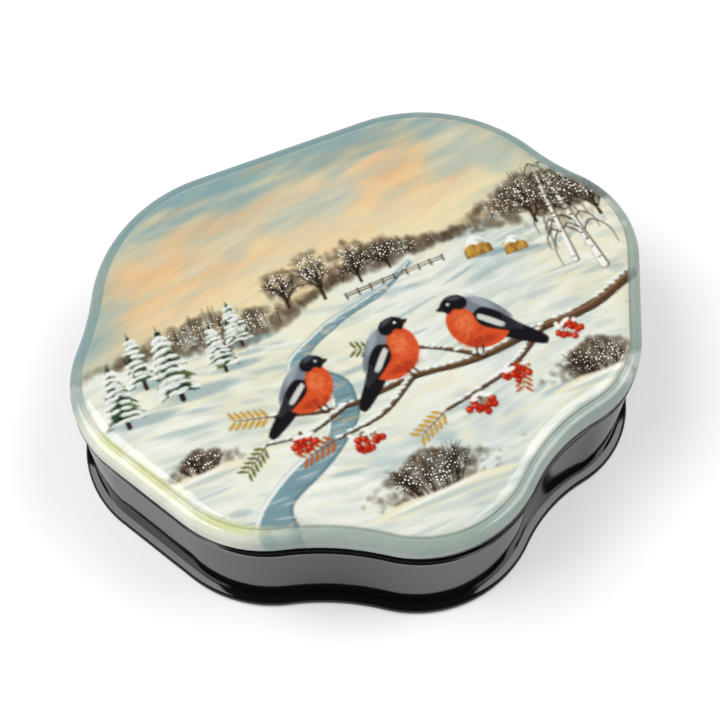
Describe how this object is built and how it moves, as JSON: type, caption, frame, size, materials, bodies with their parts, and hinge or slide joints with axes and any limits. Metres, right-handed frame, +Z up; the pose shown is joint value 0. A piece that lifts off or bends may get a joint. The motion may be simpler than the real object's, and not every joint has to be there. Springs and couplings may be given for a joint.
{
  "type": "lacquer box",
  "caption": "Shallow lobed lacquered box with a hinged lid, a raised painted lid panel, a flanged base and a red interior.",
  "frame": {"origin": "middle of the box's plan, on the surface it stands on", "axes": "+Z up, +Y to the hinged back, X along the hinge and the length"},
  "size_m": [0.15, 0.1212, 0.042],
  "materials": {
    "black_lacquer": "lacquered papier-mache, high gloss",
    "picture_lacquer": "painted papier-mache under clear lacquer, high gloss",
    "red_lacquer": "lacquered papier-mache, gloss",
    "hinge_brass": "satin, slightly tarnished"
  },
  "bodies": {
    "box": {"base_board": "black_lacquer", "wall_shell": "black_lacquer", "hinge_body_leaf": "hinge_brass", "hinge_pin": "hinge_brass", "hinge_body_brads": "hinge_brass"},
    "lid": {"lid_board": "picture_lacquer", "lid_lip": "red_lacquer", "hinge_lid_leaf": "hinge_brass", "hinge_lid_brads": "hinge_brass"}
  },
  "joints": [
    {"name": "lid_hinge", "type": "hinge", "parent": "box", "child": "lid", "pos_m": [0, 0.058, 0.0344], "axis": [-1, 0, 0], "range_deg": [0, 100]}
  ]
}
